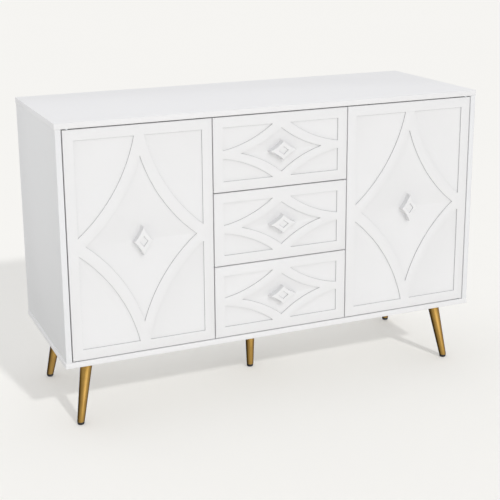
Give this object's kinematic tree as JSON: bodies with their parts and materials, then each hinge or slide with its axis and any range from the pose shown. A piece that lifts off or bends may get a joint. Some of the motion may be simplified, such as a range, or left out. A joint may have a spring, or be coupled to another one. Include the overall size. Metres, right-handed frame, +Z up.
{
  "type": "sideboard buffet",
  "caption": "Low storage cabinet with two hinged doors beside a column of sliding drawers, sunk star pattern on the fronts, on slim splayed tapered legs.",
  "frame": {"origin": "on the floor under the middle of the cabinet, at the sole of the centre leg's glide", "axes": "+X to the right along the width seen from the front, -Y out of the front, +Z up"},
  "size_m": [1.2, 0.453, 0.81],
  "materials": {
    "white_panels": "satin white lacquer on board",
    "white_fronts": "satin white lacquer on milled board",
    "white_board": "thin white-faced hardboard",
    "white_knobs": "satin white lacquer",
    "brass_legs": "brushed brass-tone metal",
    "black_plastic": "matt",
    "runner_steel": "zinc plated",
    "plate_steel": "zinc plated",
    "zinc_steel": "zinc plated",
    "nylon": "smooth",
    "grey_plastic": "smooth",
    "rubber_pads": "soft"
  },
  "bodies": {
    "cabinet": {"top_panel": "white_panels", "bottom_panel": "white_panels", "left_side": "white_panels", "right_side": "white_panels", "left_partition": "white_panels", "right_partition": "white_panels", "back_panel": "white_board", "back_screws": "zinc_steel", "left_shelf": "white_panels", "right_shelf": "white_panels", "shelf_pins": "zinc_steel", "cam_discs": "zinc_steel", "cam_bolts": "zinc_steel", "leg_plates": "plate_steel", "leg_plate_screws": "zinc_steel", "front_left_leg": "brass_legs", "front_right_leg": "brass_legs", "rear_left_leg": "brass_legs", "rear_right_leg": "brass_legs", "centre_leg": "brass_legs", "glides": "black_plastic", "cabinet_runners": "runner_steel", "runner_screws": "zinc_steel", "pivot_pins": "zinc_steel", "magnet_catches": "grey_plastic", "bumpers": "rubber_pads"},
    "left_door": {"left_door": "white_fronts", "left_door_knob": "white_knobs", "left_door_knob_screw": "zinc_steel", "left_door_bushings": "nylon", "left_door_strike": "zinc_steel"},
    "right_door": {"right_door": "white_fronts", "right_door_knob": "white_knobs", "right_door_knob_screw": "zinc_steel", "right_door_bushings": "nylon", "right_door_strike": "zinc_steel"},
    "drawer_1": {"drawer_1_front": "white_fronts", "drawer_1_knob": "white_knobs", "drawer_1_knob_screw": "zinc_steel", "drawer_1_left_side": "white_panels", "drawer_1_right_side": "white_panels", "drawer_1_back": "white_panels", "drawer_1_bottom": "white_board", "drawer_1_runners": "runner_steel"},
    "drawer_2": {"drawer_2_front": "white_fronts", "drawer_2_knob": "white_knobs", "drawer_2_knob_screw": "zinc_steel", "drawer_2_left_side": "white_panels", "drawer_2_right_side": "white_panels", "drawer_2_back": "white_panels", "drawer_2_bottom": "white_board", "drawer_2_runners": "runner_steel"},
    "drawer_3": {"drawer_3_front": "white_fronts", "drawer_3_knob": "white_knobs", "drawer_3_knob_screw": "zinc_steel", "drawer_3_left_side": "white_panels", "drawer_3_right_side": "white_panels", "drawer_3_back": "white_panels", "drawer_3_bottom": "white_board", "drawer_3_runners": "runner_steel"}
  },
  "joints": [
    {"name": "left_door_hinge", "type": "hinge", "parent": "cabinet", "child": "left_door", "pos_m": [-0.5685, -0.2125, 0.495], "axis": [0, 0, -1], "range_deg": [0, 110]},
    {"name": "right_door_hinge", "type": "hinge", "parent": "cabinet", "child": "right_door", "pos_m": [0.5685, -0.2125, 0.495], "axis": [0, 0, 1], "range_deg": [0, 110]},
    {"name": "drawer_1_slide", "type": "slide", "parent": "cabinet", "child": "drawer_1", "axis": [0, -1, 0], "range_m": [0, 0.25]},
    {"name": "drawer_2_slide", "type": "slide", "parent": "cabinet", "child": "drawer_2", "axis": [0, -1, 0], "range_m": [0, 0.25]},
    {"name": "drawer_3_slide", "type": "slide", "parent": "cabinet", "child": "drawer_3", "axis": [0, -1, 0], "range_m": [0, 0.25]}
  ]
}
